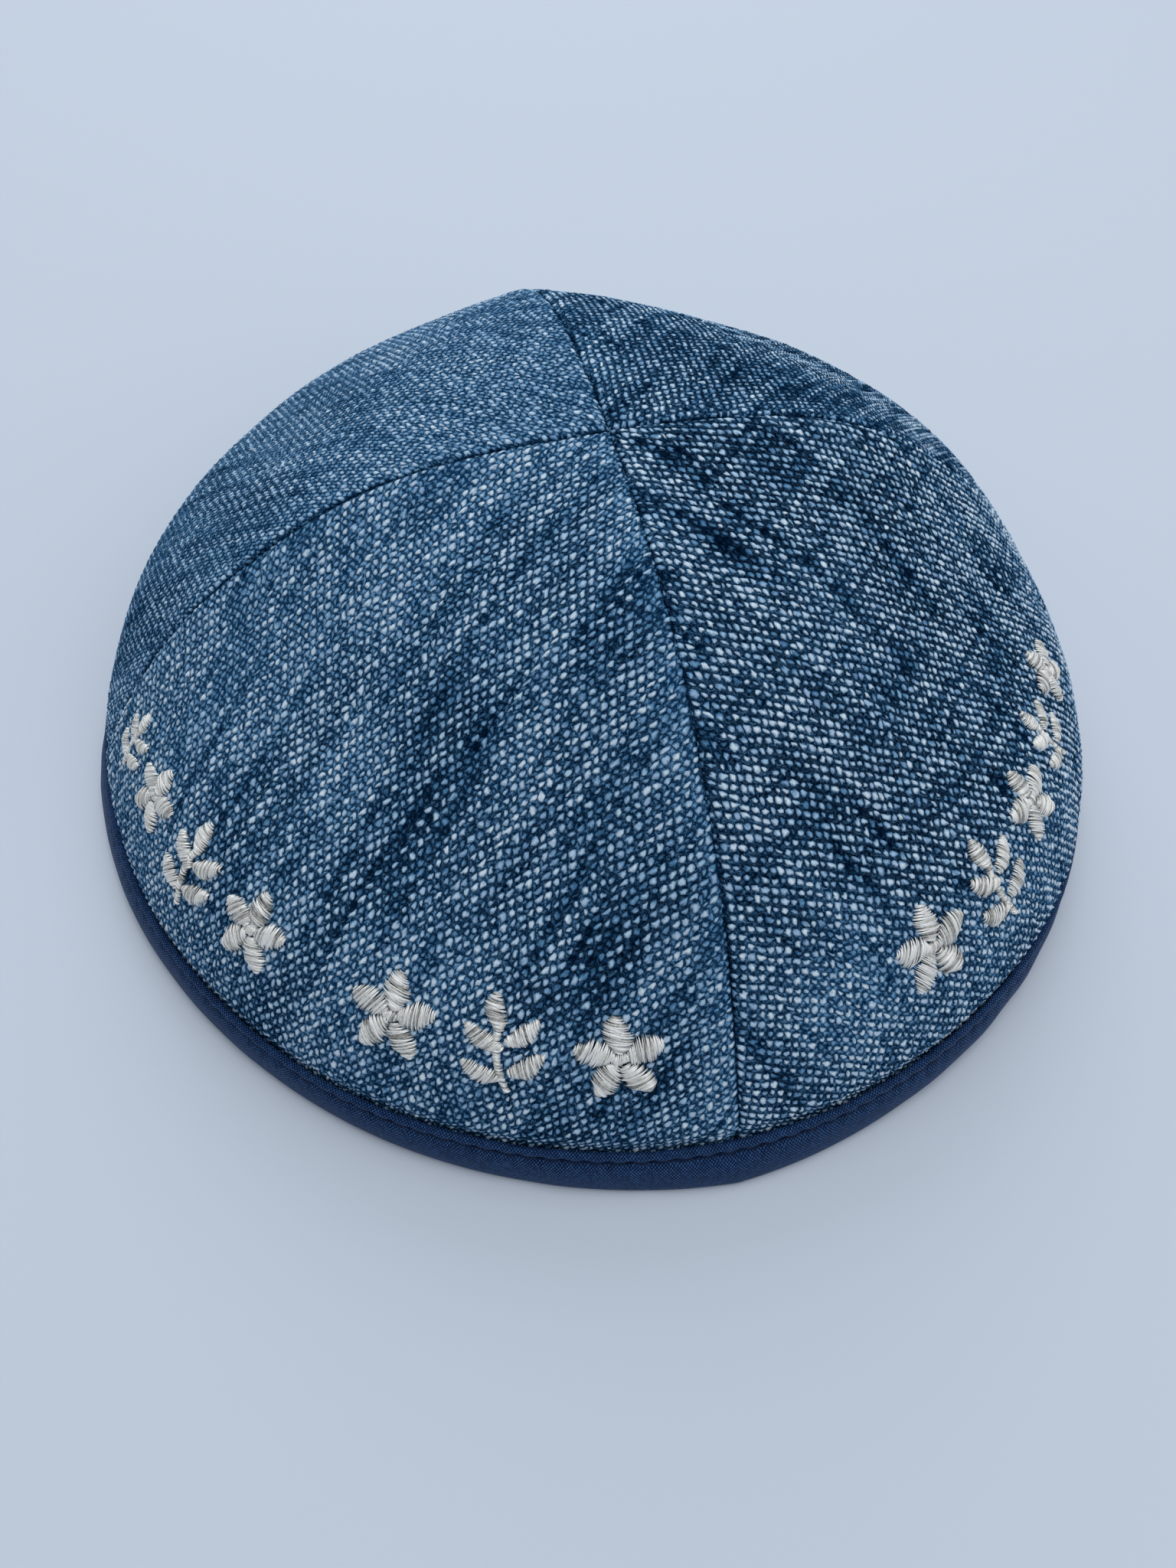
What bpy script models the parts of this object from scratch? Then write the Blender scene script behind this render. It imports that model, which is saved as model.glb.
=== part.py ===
"""Cloth skullcap: four woven gores sewn into a low dome, with a folded binding round the rim.

Metres, +Z up. The origin is the middle of the rim, on the surface that the cap rests on.
Gores and binding follow one outer form. A meridian of five sections stands at each seam and a
second one halfway between two seams, and the cloth swells smoothly from one to the other.
"""

from collections import namedtuple
from math import asin, cos, floor, hypot, pi, radians, sin

import bmesh
import bpy
from mathutils import Vector

# The worn-in cap as it lies
RIM_WIDTH = 0.1650  # across the ellipse of the rim, along X
RIM_DEPTH = 0.1750  # across the ellipse of the rim, along Y
HEIGHT = 0.0576  # from the surface it rests on to the crown

# Cloth
CLOTH = 0.0016  # wall of a gore, face and backing together
TAPE = 0.0010  # one folded leg of the binding
BINDING_OUTSIDE = 0.0080  # height of the binding's outer leg
BINDING_INSIDE = 0.0075  # height of its inner leg
CLEARANCE = 0.0003  # between neighbouring pieces of cloth
FOLD_BEVEL = 0.0008  # rounding of the fold where it meets the surface
EASE = 0.0035  # height over which a gore swells out above the binding

# The form's meridians from rim to crown. The angle runs along a quarter of an ellipse of the rim's
# half width and the height. The shares say how far the cloth reaches towards that ellipse.
Section = namedtuple("Section", "angle at_seam halfway")
SECTIONS = (
    Section(angle=0.0, at_seam=1.000, halfway=0.973),
    Section(angle=22.5, at_seam=0.953, halfway=0.976),
    Section(angle=45.0, at_seam=0.974, halfway=0.925),
    Section(angle=67.5, at_seam=1.019, halfway=0.974),
    Section(angle=90.0, at_seam=1.000, halfway=1.000),
)
CREASE = 0.9  # below 1, the cloth leaves the seams more sharply

# The rim's gentle dents and swells, as shares of its ellipse
Rim = namedtuple("Rim", "compass share")
RIM = (
    Rim(compass=0, share=1.008),
    Rim(compass=30, share=1.010),
    Rim(compass=60, share=0.997),
    Rim(compass=90, share=0.991),
    Rim(compass=120, share=1.013),
    Rim(compass=150, share=0.971),
    Rim(compass=180, share=0.996),
    Rim(compass=210, share=1.005),
    Rim(compass=240, share=0.996),
    Rim(compass=270, share=0.990),
    Rim(compass=300, share=1.005),
    Rim(compass=330, share=1.024),
)

# The gores, each with its first seam's compass angle (0 along +X, counter-clockwise) and how much
# fuller it is halfway up than the sections say, as a share of its reach
Gore = namedtuple("Gore", "name seam_angle fuller colour")
GORES = (
    Gore(name="panel_right", seam_angle=-74.0, fuller=-0.010, colour=(0.062, 0.150, 0.240)),
    Gore(name="panel_back", seam_angle=17.7, fuller=0.006, colour=(0.070, 0.165, 0.262)),
    Gore(name="panel_left", seam_angle=107.0, fuller=0.010, colour=(0.098, 0.215, 0.335)),
    Gore(name="panel_front", seam_angle=198.7, fuller=-0.035, colour=(0.080, 0.185, 0.295)),
)
CLOTH_ROUGHNESS = 0.9
BINDING_COLOUR = (0.012, 0.052, 0.118)
BINDING_ROUGHNESS = 0.55

# How finely the solids are cut
GORE_COLUMNS = 18
GORE_ROWS = 15
BINDING_STEPS = 120


def clear_scene():
    for thing in list(bpy.data.objects):
        bpy.data.objects.remove(thing)


def cloth_material(name, colour, roughness):
    material = bpy.data.materials.new(name)
    material.use_nodes = True
    shader = material.node_tree.nodes["Principled BSDF"]
    shader.inputs["Base Color"].default_value = (*colour, 1.0)
    shader.inputs["Roughness"].default_value = roughness
    shader.inputs["Metallic"].default_value = 0.0
    return material


def ease_between(low, high, low_slope, high_slope, t):
    """Smooth curve between two values with a slope at each, for t from 0 to 1."""
    rise = high - low
    bend = (t - 1) * (low_slope - rise) + t * (high_slope - rise)
    return low + rise * t + t * (t - 1) * bend


def up_the_meridian(shares, angle):
    """Share at an angle of a smooth curve through one share per section, level at the crown."""
    step = radians(SECTIONS[1].angle - SECTIONS[0].angle)
    last = len(shares) - 1
    place_in_table = min(max(angle / step, 0.0), float(last))
    i = min(int(place_in_table), last - 1)
    slopes = [(-3 * shares[0] + 4 * shares[1] - shares[2]) / 2]
    slopes += [(after - before) / 2 for before, after in zip(shares, shares[2:])]
    slopes += [0.0]
    return ease_between(shares[i], shares[i + 1], slopes[i], slopes[i + 1], place_in_table - i)


def round_the_rim(azimuth):
    """Share at a compass angle of a smooth closed curve through the rim's shares."""
    count = len(RIM)
    step = azimuth / (2 * pi) % 1.0 * count
    i = floor(step)
    before, low, high, after = (RIM[(i + k) % count].share for k in (-1, 0, 1, 2))
    return ease_between(low, high, (high - before) / 2, (after - low) / 2, step - i)


def gore_at(azimuth):
    """The gore at a compass angle, and how far across it that is, from 0 to 1."""
    for gore, following in zip(GORES, GORES[1:] + GORES[:1]):
        turned = (azimuth - radians(gore.seam_angle)) % (2 * pi)
        span = radians((following.seam_angle - gore.seam_angle) % 360)
        if turned <= span:
            return gore, turned / span
    return GORES[0], 0.0


def form(azimuth, angle):
    """Distance from the axis and height of the cap's outer form."""
    gore, across = gore_at(azimuth)
    swell = sin(pi * across) ** CREASE
    at_seam = up_the_meridian([section.at_seam for section in SECTIONS], angle)
    halfway = up_the_meridian([section.halfway for section in SECTIONS], angle)
    halfway += gore.fuller * sin(2 * angle)
    share = at_seam + (halfway - at_seam) * swell
    rim = 1 / hypot(cos(azimuth) / (RIM_WIDTH / 2), sin(azimuth) / (RIM_DEPTH / 2))
    rim *= 1 + (round_the_rim(azimuth) - 1) * cos(angle) ** 2
    return share * rim * cos(angle), share * HEIGHT * sin(angle)


def inset_form(azimuth, angle, inset):
    """The same, for the form moved inwards square to its meridian."""
    small = 1e-4
    angle = min(angle, pi / 2 - small)
    radius, height = form(azimuth, angle)
    before = form(azimuth, angle - small)
    after = form(azimuth, angle + small)
    along = Vector((after[0] - before[0], after[1] - before[1])).normalized()
    return radius - inset * along.y, height + inset * along.x


def at_height(azimuth, height, inset):
    """Point of the inset form at a height near the rim, its angle found in ever smaller steps."""
    angle = height / HEIGHT
    for _ in range(8):
        radius, reached = inset_form(azimuth, angle, inset)
        angle += (height - reached) / HEIGHT
    return radius, height


def rim_middle():
    """Middle of the rim's width and depth, which the crown stands a little off."""
    azimuths = [2 * pi * step / BINDING_STEPS for step in range(BINDING_STEPS)]
    across = [form(azimuth, 0.0)[0] * cos(azimuth) for azimuth in azimuths]
    along = [form(azimuth, 0.0)[0] * sin(azimuth) for azimuth in azimuths]
    return (min(across) + max(across)) / 2, (min(along) + max(along)) / 2


def place(azimuth, point):
    """Point in space of a distance from the crown's axis and a height."""
    radius, height = point
    off_x, off_y = RIM_MIDDLE
    return Vector((radius * cos(azimuth) - off_x, radius * sin(azimuth) - off_y, height))


def loft(name, loops, closed, material, collection):
    """One closed body through loops of points, run on in a ring or capped at its two ends."""
    mesh = bmesh.new()
    rings = [[mesh.verts.new(point) for point in loop] for loop in loops]
    pairs = list(zip(rings, rings[1:]))
    if closed:
        pairs.append((rings[-1], rings[0]))
    else:
        mesh.faces.new(rings[0])
        mesh.faces.new(rings[-1])
    for lower, upper in pairs:
        for i in range(len(lower)):
            j = (i + 1) % len(lower)
            mesh.faces.new((lower[i], lower[j], upper[j], upper[i]))
    bmesh.ops.remove_doubles(mesh, verts=mesh.verts, dist=1e-6)
    bmesh.ops.triangulate(mesh, faces=mesh.faces)
    bmesh.ops.recalc_face_normals(mesh, faces=mesh.faces)
    data = bpy.data.meshes.new(name)
    mesh.to_mesh(data)
    mesh.free()
    data.materials.append(material)
    data.shade_smooth()
    data.set_sharp_from_angle(angle=radians(40))
    piece = bpy.data.objects.new(name, data)
    collection.objects.link(piece)
    return piece


def gore_piece(gore, following, collection):
    """One gore: a wall from the binding's fold to the crown, shy of its seams by half a gap."""
    start = radians(gore.seam_angle)
    span = radians((following.seam_angle - gore.seam_angle) % 360)
    tuck = TAPE + CLEARANCE
    above_fold = TAPE + CLEARANCE
    swelled = BINDING_OUTSIDE + EASE
    lower_rows = (
        (above_fold, tuck),
        (BINDING_OUTSIDE, tuck),
        (BINDING_OUTSIDE + EASE / 2, tuck / 2),
        (swelled, 0.0),
    )

    def row_at(point_at):
        """Loop of points once across the face and back across the inside."""
        face = []
        inside = []
        for column in range(GORE_COLUMNS + 1):
            across = column / GORE_COLUMNS
            radius = point_at(start + span * across, 0.0)[0]
            back_off = asin(min(CLEARANCE / 2 / radius, sin(span / 2)))
            azimuth = start + back_off + (span - 2 * back_off) * across
            face.append(place(azimuth, point_at(azimuth, 0.0)))
            inside.append(place(azimuth, point_at(azimuth, CLOTH)))
        return face + inside[::-1]

    rows = []
    for height, inset in lower_rows:
        rows.append(row_at(lambda azimuth, wall: at_height(azimuth, height, inset + wall)))
    swelled_angle = asin(swelled / HEIGHT)
    tip_angle = pi / 2 - CLEARANCE / 2 / sin(span / 2) / (RIM_WIDTH / 2)
    for row in range(1, GORE_ROWS + 1):
        angle = swelled_angle + (tip_angle - swelled_angle) * row / GORE_ROWS
        rows.append(row_at(lambda azimuth, wall: inset_form(azimuth, angle, wall)))
    material = cloth_material(gore.name, gore.colour, CLOTH_ROUGHNESS)
    return loft(gore.name, rows, False, material, collection)


def binding_piece(collection):
    """The tape round the rim: an outer leg, the fold it rests on and an inner leg."""
    whole = 2 * (TAPE + CLEARANCE) + CLOTH
    section = (
        (0.0, FOLD_BEVEL),
        (FOLD_BEVEL, 0.0),
        (whole - FOLD_BEVEL, 0.0),
        (whole, FOLD_BEVEL),
        (whole, BINDING_INSIDE),
        (whole - TAPE, BINDING_INSIDE),
        (whole - TAPE, TAPE),
        (TAPE, TAPE),
        (TAPE, BINDING_OUTSIDE),
        (0.0, BINDING_OUTSIDE),
        (0.0, (FOLD_BEVEL + BINDING_OUTSIDE) / 2),
    )
    loops = []
    for step in range(BINDING_STEPS):
        azimuth = 2 * pi * step / BINDING_STEPS
        loops.append([place(azimuth, at_height(azimuth, height, inset)) for inset, height in section])
    material = cloth_material("rim_binding", BINDING_COLOUR, BINDING_ROUGHNESS)
    return loft("rim_binding", loops, True, material, collection)


RIM_MIDDLE = rim_middle()

clear_scene()
skullcap = bpy.data.collections.new("skullcap")
bpy.context.scene.collection.children.link(skullcap)
for this_gore, next_gore in zip(GORES, GORES[1:] + GORES[:1]):
    gore_piece(this_gore, next_gore, skullcap)
binding_piece(skullcap)
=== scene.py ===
"""A cloth skullcap of four gores with a folded tape round its rim, on a pale table."""

from collections import namedtuple

import bmesh
import bpy
import numpy as np
from mathutils import Matrix, Vector


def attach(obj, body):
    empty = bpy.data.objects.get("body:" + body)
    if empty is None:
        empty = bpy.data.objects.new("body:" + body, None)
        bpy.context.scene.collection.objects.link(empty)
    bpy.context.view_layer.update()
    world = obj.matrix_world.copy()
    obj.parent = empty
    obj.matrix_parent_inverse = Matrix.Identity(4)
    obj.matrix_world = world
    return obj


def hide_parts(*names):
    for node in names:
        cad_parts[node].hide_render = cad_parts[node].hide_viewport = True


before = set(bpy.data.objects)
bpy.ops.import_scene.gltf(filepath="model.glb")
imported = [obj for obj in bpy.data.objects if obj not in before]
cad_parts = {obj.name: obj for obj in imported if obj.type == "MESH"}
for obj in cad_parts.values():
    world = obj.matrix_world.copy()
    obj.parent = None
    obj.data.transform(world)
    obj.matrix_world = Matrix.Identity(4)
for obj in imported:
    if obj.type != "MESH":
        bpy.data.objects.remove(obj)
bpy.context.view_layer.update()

# The cap's body: four gores of one heathered plain weave, pale blue yarn crossing
# navy, cut with the threads straight up each gore's middle. The gores are sewn
# together with their edges rolled under, so every seam is a soft groove.
RIM_WIDTH, RIM_DEPTH, CAP_HEIGHT = 0.1650, 0.1750, 0.0576
# Shares of the rim's oval and of the height that the cloth reaches, from rim to crown: at a
# seam, then halfway between two seams, and last round the rim itself in twelve even steps
SEAM_LINE = (1.000, 0.953, 0.974, 1.019, 1.000)
GORE_MIDDLE = (0.973, 0.976, 0.925, 0.974, 1.000)
RIM_SHARES = (1.008, 1.010, 0.997, 0.991, 1.013, 0.971, 0.996, 1.005, 0.996, 0.990, 1.005, 1.024)
# Each gore starts at a seam of its own number and may be fuller halfway up than GORE_MIDDLE says
RIGHT, BACK, LEFT, FRONT = range(4)
SEAM_COMPASS = np.radians((-74.0, 17.7, 107.0, 198.7))
GORE_FULLER = np.array((-0.010, 0.006, 0.010, -0.035))
CREASE = 0.9  # below 1, the cloth leaves the seams more sharply
CLOTH, TAPE, TUCK_GAP = 0.0016, 0.0010, 0.0003
TAPE_TOP, TUCK_EASE = 0.0080, 0.0035
TAPE_RISE, TAPE_RISE_PLACE, TAPE_RISE_SPREAD = 0.0011, np.radians(-38), 0.42
CLOTH_FOOT = 0.0040  # height at which the gores end inside the tape
GRID_FOOT_ANGLE, GRID_FOOT_HEIGHT = 0.06, 0.0035  # where their untrimmed grids end, a little lower
SEAM_GAP = 0.00003  # from a gore's edge to the middle of its seam
INSIDE_MESH = 0.0018  # spacing of the plainer mesh of the cloth's inside
# A gore is laid flat from a ball about as round as the cap: the ball's radius, the depth of its
# middle below the rim, and the tilt of a gore's middle from straight up
BALL_RADIUS, BALL_DROP, GORE_TILT = 0.0915, 0.0339, np.radians(38.0)

# The yarns' gaps are in mm and their turn in degrees. Pale is the nubs' brightness, filled is
# how much pale yarn shows between them, and the streaks follow the yarns up or across. The left
# gore's high filled value is partly the cloth's own filled-in heathering and partly painted sheen.
GoreCloth = namedtuple(
    "GoreCloth",
    "name gap_across gap_up turn slant pale pale_spread filled seam_filled streaks_up streaks_across seed",
)
GORE_CLOTH = (
    GoreCloth("panel_right", 0.757, 1.000, 0.0, 0.24, 0.76, 0.10, 0.20, 0.25, 0.62, 0.28, 3),
    GoreCloth("panel_back", 0.745, 1.000, 2.0, 0.24, 0.62, 0.10, 0.30, 0.25, 0.56, 0.26, 5),
    GoreCloth("panel_left", 0.720, 1.010, 3.0, -0.16, 0.64, 0.06, 0.95, 0.25, 0.34, 0.10, 7),
    GoreCloth("panel_front", 0.708, 1.030, -5.0, -0.16, 0.68, 0.08, 0.60, 0.65, 0.58, 0.10, 11),
)
# Paler and darker patches by gore, partly the cloth's own uneven heathering and partly painted sheen: where
# across and up in mm, half width and half height, and how much more filled in and how much paler the cloth
# is there
HEATHER_AND_PAINTED_SHEEN_PATCHES = {
    FRONT: (
        (-46, -12, 17, 16, 0.55, 0.04), (-28, 8, 9, 20, 0.50, 0.04), (-14, 32, 8, 14, 0.35, 0.02),
        (-10, 4, 5, 16, 0.25, 0.02), (6, 10, 4, 14, -0.15, -0.07), (30, 0, 16, 26, -0.12, -0.02),
        (8, -20, 30, 7, 0.15, 0.05), (-44, -4, 14, 26, 0.20, 0.13), (0, 8, 9, 16, 0.10, 0.08),
        (-15, -30, 28, 7, 0.10, 0.09),
    ),
    RIGHT: (
        (-40, -16, 13, 12, 0.65, 0.04), (-12, 30, 6, 16, -0.10, -0.03), (8, 12, 14, 18, -0.10, 0.00),
        (-28, 2, 5, 14, -0.10, -0.10), (0, -26, 44, 9, 0.40, 0.06), (42, -6, 14, 14, 0.50, 0.05),
        (-48, -8, 18, 26, 0.25, 0.15), (-12, -34, 34, 9, 0.20, 0.14), (6, 48, 14, 12, -0.05, -0.10),
    ),
    LEFT: (
        (-20, 20, 22, 30, 0.30, 0.00), (44, -4, 9, 40, -0.40, 0.02), (24, 14, 6, 12, -0.40, -0.08),
    ),
    BACK: (
        (20, 30, 18, 12, 0.20, 0.04), (0, 30, 8, 10, -0.10, -0.10), (-20, 26, 10, 16, 0.30, 0.13),
    ),
}


def smooth_curve(low, high, slope_low, slope_high, part):
    """Smooth curve from one share to the next, leaving and meeting them at the given slopes."""
    rise = high - low
    return low + rise * part + part * (part - 1) * (
        (part - 1) * (slope_low - rise) + part * (slope_high - rise)
    )


def meridian_share(shares, angle):
    """Share at an angle up the meridian, level at the crown."""
    v = np.array(shares)
    step = np.clip(angle / np.radians(22.5), 0, len(v) - 1)
    i = np.minimum(step.astype(int), len(v) - 2)
    slope = np.concatenate(([(-3 * v[0] + 4 * v[1] - v[2]) / 2], (v[2:] - v[:-2]) / 2, [0.0]))
    return smooth_curve(v[i], v[i + 1], slope[i], slope[i + 1], step - i)


def rim_share(compass):
    """Share of the rim's oval at a compass angle."""
    v = np.array(RIM_SHARES)
    step = np.mod(compass / (2 * np.pi), 1) * len(v)
    i = np.floor(step).astype(int) % len(v)
    before, low, high, after = (v[(i + k) % len(v)] for k in (-1, 0, 1, 2))
    return smooth_curve(low, high, (high - before) / 2, (after - low) / 2, step - np.floor(step))


def cap_form(compass, angle):
    """Distance from the crown's axis and height of the cap's outside."""
    turned = np.mod(compass[..., None] - SEAM_COMPASS, 2 * np.pi)
    gore = np.argmin(turned, axis=-1)
    span = np.mod(np.roll(SEAM_COMPASS, -1) - SEAM_COMPASS, 2 * np.pi)[gore]
    swell = np.sin(np.pi * np.clip(np.min(turned, axis=-1) / span, 0, 1)) ** CREASE
    at_seam = meridian_share(SEAM_LINE, angle)
    halfway = meridian_share(GORE_MIDDLE, angle) + GORE_FULLER[gore] * np.sin(2 * angle)
    share = at_seam + (halfway - at_seam) * swell
    rim = 1 / np.hypot(np.cos(compass) / (RIM_WIDTH / 2), np.sin(compass) / (RIM_DEPTH / 2))
    rim = rim * (1 + (rim_share(compass) - 1) * np.cos(angle) ** 2)
    return share * rim * np.cos(angle), share * CAP_HEIGHT * np.sin(angle)


round_compass = 2 * np.pi * np.arange(120) / 120
rim_radius = cap_form(round_compass, np.zeros(120))[0]
RIM_MIDDLE = np.array([
    (np.min(rim_radius * along) + np.max(rim_radius * along)) / 2
    for along in (np.cos(round_compass), np.sin(round_compass))
])


def on_cap(compass, angle, lift):
    """Points of the cap's outside, moved outwards square to the meridian by lift."""
    near = np.minimum(angle, np.pi / 2 - 1e-4)
    radius, height = cap_form(compass, near)
    r0, z0 = cap_form(compass, near - 1e-3)
    r1, z1 = cap_form(compass, near + 1e-4)
    along = np.hypot(r1 - r0, z1 - z0)
    radius = radius + lift * (z1 - z0) / along
    height = height - lift * (r1 - r0) / along
    return np.stack((
        radius * np.cos(compass) - RIM_MIDDLE[0],
        radius * np.sin(compass) - RIM_MIDDLE[1],
        height,
    ), axis=-1)


def angle_of_tilt(compass, tilt):
    """Angle up the meridian where the cap is met at a tilt from the ball's middle."""
    low = np.full_like(compass, -0.25)
    high = np.full_like(compass, np.pi / 2)
    for _ in range(26):
        middle = (low + high) / 2
        radius, height = cap_form(compass, middle)
        steep = np.arctan2(radius, height + BALL_DROP) > tilt
        low = np.where(steep, middle, low)
        high = np.where(steep, high, middle)
    return (low + high) / 2


def gore_middle(gore):
    """Compass angle halfway between a gore's two seams."""
    span = np.mod(SEAM_COMPASS[(gore + 1) % 4] - SEAM_COMPASS[gore], 2 * np.pi)
    return SEAM_COMPASS[gore] + span / 2


def flat_to_compass(gore, x, y):
    """Compass and tilt of a point of a gore laid flat, its threads running up y."""
    ahead = np.array((np.sin(GORE_TILT), 0.0, np.cos(GORE_TILT)))
    upwards = np.array((-np.cos(GORE_TILT), 0.0, np.sin(GORE_TILT)))
    arc = np.hypot(x, y) / BALL_RADIUS
    reach = np.sinc(arc / np.pi) / BALL_RADIUS
    v = np.cos(arc)[..., None] * ahead + (reach * y)[..., None] * upwards
    v[..., 1] += reach * x
    return np.arctan2(v[..., 1], v[..., 0]) + gore_middle(gore), np.arccos(np.clip(v[..., 2], -1, 1))


def compass_to_flat(gore, compass, tilt):
    """The same, the other way round."""
    turned = compass - gore_middle(gore)
    v = np.stack((np.sin(tilt) * np.cos(turned), np.sin(tilt) * np.sin(turned), np.cos(tilt)), axis=-1)
    ahead = v[..., 0] * np.sin(GORE_TILT) + v[..., 2] * np.cos(GORE_TILT)
    upwards = -v[..., 0] * np.cos(GORE_TILT) + v[..., 2] * np.sin(GORE_TILT)
    arc = np.arccos(np.clip(ahead, -1, 1))
    reach = BALL_RADIUS / np.maximum(np.sinc(arc / np.pi), 1e-6)
    return v[..., 1] * reach, upwards * reach


def cloth_noise(rng, x, y, across, up):
    """Soft random field from -1 to 1 whose patches measure across by up."""
    cells = 256
    grid = rng.uniform(-1, 1, (cells, cells))
    u, v = np.mod(x / across, cells), np.mod(y / up, cells)
    i, j = np.floor(u).astype(int), np.floor(v).astype(int)
    s, t = u - i, v - j
    s, t = s * s * (3 - 2 * s), t * t * (3 - 2 * t)
    i, j, i1, j1 = i % cells, j % cells, (i + 1) % cells, (j + 1) % cells
    low = grid[i, j] * (1 - s) + grid[i1, j] * s
    high = grid[i, j1] * (1 - s) + grid[i1, j1] * s
    return low * (1 - t) + high * t


def nub_value(i, j, seed):
    """One value from 0 to 1 for each pale nub of the weave, scattered by a steep sine."""
    mixed = np.sin(i * 12.9898 + j * 78.233 + seed * 37.719) * 43758.5453
    return mixed - np.floor(mixed)


def trimmed_grid(name, gore, x, y, across, up):
    """A flat grid of cloth, its lines along the yarns, laid over one gore and cut at seams and foot."""
    columns, rows = len(x), len(y)
    bpy.ops.object.select_all(action="DESELECT")
    bpy.ops.mesh.primitive_grid_add(x_subdivisions=columns - 1, y_subdivisions=rows - 1, size=1)
    piece = bpy.context.object
    piece.name = name
    co = np.empty(len(piece.data.vertices) * 3)
    piece.data.vertices.foreach_get("co", co)
    co = co.reshape(-1, 3)
    column = np.rint((co[:, 0] + 0.5) * (columns - 1)).astype(int)
    row = np.rint((co[:, 1] + 0.5) * (rows - 1)).astype(int)
    flat_x = x[column] * across[0] + y[row] * up[0]
    flat_y = x[column] * across[1] + y[row] * up[1]
    compass, tilt = flat_to_compass(gore, flat_x, flat_y)
    co = on_cap(compass, angle_of_tilt(compass, tilt), np.zeros(len(co)))
    piece.data.vertices.foreach_set("co", co.ravel())
    mesh = bmesh.new()
    mesh.from_mesh(piece.data)
    first, second = SEAM_COMPASS[gore], SEAM_COMPASS[(gore + 1) % 4]
    inwards = (
        Vector((-np.sin(first), np.cos(first), 0)),
        Vector((np.sin(second), -np.cos(second), 0)),
    )
    axis = Vector((-RIM_MIDDLE[0], -RIM_MIDDLE[1], 0))
    cuts = [(axis + inward * SEAM_GAP, inward) for inward in inwards]
    cuts.append((Vector((0, 0, CLOTH_FOOT)), Vector((0, 0, 1))))
    for point, keep_side in cuts:
        bmesh.ops.bisect_plane(
            mesh, geom=mesh.verts[:] + mesh.edges[:] + mesh.faces[:], dist=4e-5,
            plane_co=point, plane_no=-keep_side, clear_outer=True,
        )
    mesh.to_mesh(piece.data)
    mesh.free()
    return piece


def placed_on(piece):
    """Compass, tilt, distance from the crown's axis and height of each vertex of a trimmed grid."""
    co = np.empty(len(piece.data.vertices) * 3)
    piece.data.vertices.foreach_get("co", co)
    co = co.reshape(-1, 3)
    x, y = co[:, 0] + RIM_MIDDLE[0], co[:, 1] + RIM_MIDDLE[1]
    radius = np.hypot(x, y)
    compass = np.arctan2(y, x)
    return compass, np.arctan2(radius, co[:, 2] + BALL_DROP), radius, co[:, 2]


def rim_loop(mesh, first_vert):
    """The verts round the open edge of one sheet in a mesh, counter-clockwise."""
    corners = [edge.link_loops[0] for edge in mesh.edges if edge.is_boundary]
    edges = {corner.vert: corner.link_loop_next.vert for corner in corners}
    loop = [first_vert]
    while edges[loop[-1]] is not first_vert:
        loop.append(edges[loop[-1]])
    return loop


def sew_edges(outside, inside):
    """Joins the inner sheet to the outer one round their open edges, so that the cloth has a thickness."""
    mesh = bmesh.new()
    mesh.from_mesh(inside.data)
    bmesh.ops.reverse_faces(mesh, faces=mesh.faces)
    mesh.to_mesh(inside.data)
    mesh.free()
    mesh = bmesh.new()
    mesh.from_mesh(outside.data)
    outside_verts = len(mesh.verts)
    mesh.from_mesh(inside.data)
    mesh.verts.ensure_lookup_table()

    def from_crown(vert):
        reach = np.hypot(vert.co.x + RIM_MIDDLE[0], vert.co.y + RIM_MIDDLE[1])
        return reach - 0.01 * vert.co.z

    loops = []
    for verts in (mesh.verts[:outside_verts], mesh.verts[outside_verts:]):
        crown = min((vert for vert in verts if vert.is_boundary), key=from_crown)
        loops.append(rim_loop(mesh, crown))
    inner = [loops[1][0]] + loops[1][:0:-1]
    outer = loops[0]

    def run(loop):
        """Share of the way round the loop at each of its verts."""
        length = [0.0]
        for a, b in zip(loop, loop[1:] + loop[:1]):
            length.append(length[-1] + (a.co - b.co).length)
        return [v / length[-1] for v in length]

    outer_run, inner_run = run(outer), run(inner)
    i = j = 0
    while i < len(outer) or j < len(inner):
        a, c = outer[i % len(outer)], inner[j % len(inner)]
        if j >= len(inner) or (i < len(outer) and outer_run[i + 1] <= inner_run[j + 1]):
            mesh.faces.new((outer[(i + 1) % len(outer)], a, c))
            i += 1
        else:
            mesh.faces.new((a, c, inner[(j + 1) % len(inner)]))
            j += 1
    for face in mesh.faces:
        face.smooth = True
    mesh.to_mesh(outside.data)
    mesh.free()
    bpy.data.objects.remove(inside)


def socket(group, name, kind, into, value=None):
    """Adds one named input or output to a node group."""
    made = group.interface.new_socket(name=name, in_out=into, socket_type=kind)
    if value is not None:
        made.default_value = value


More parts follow.
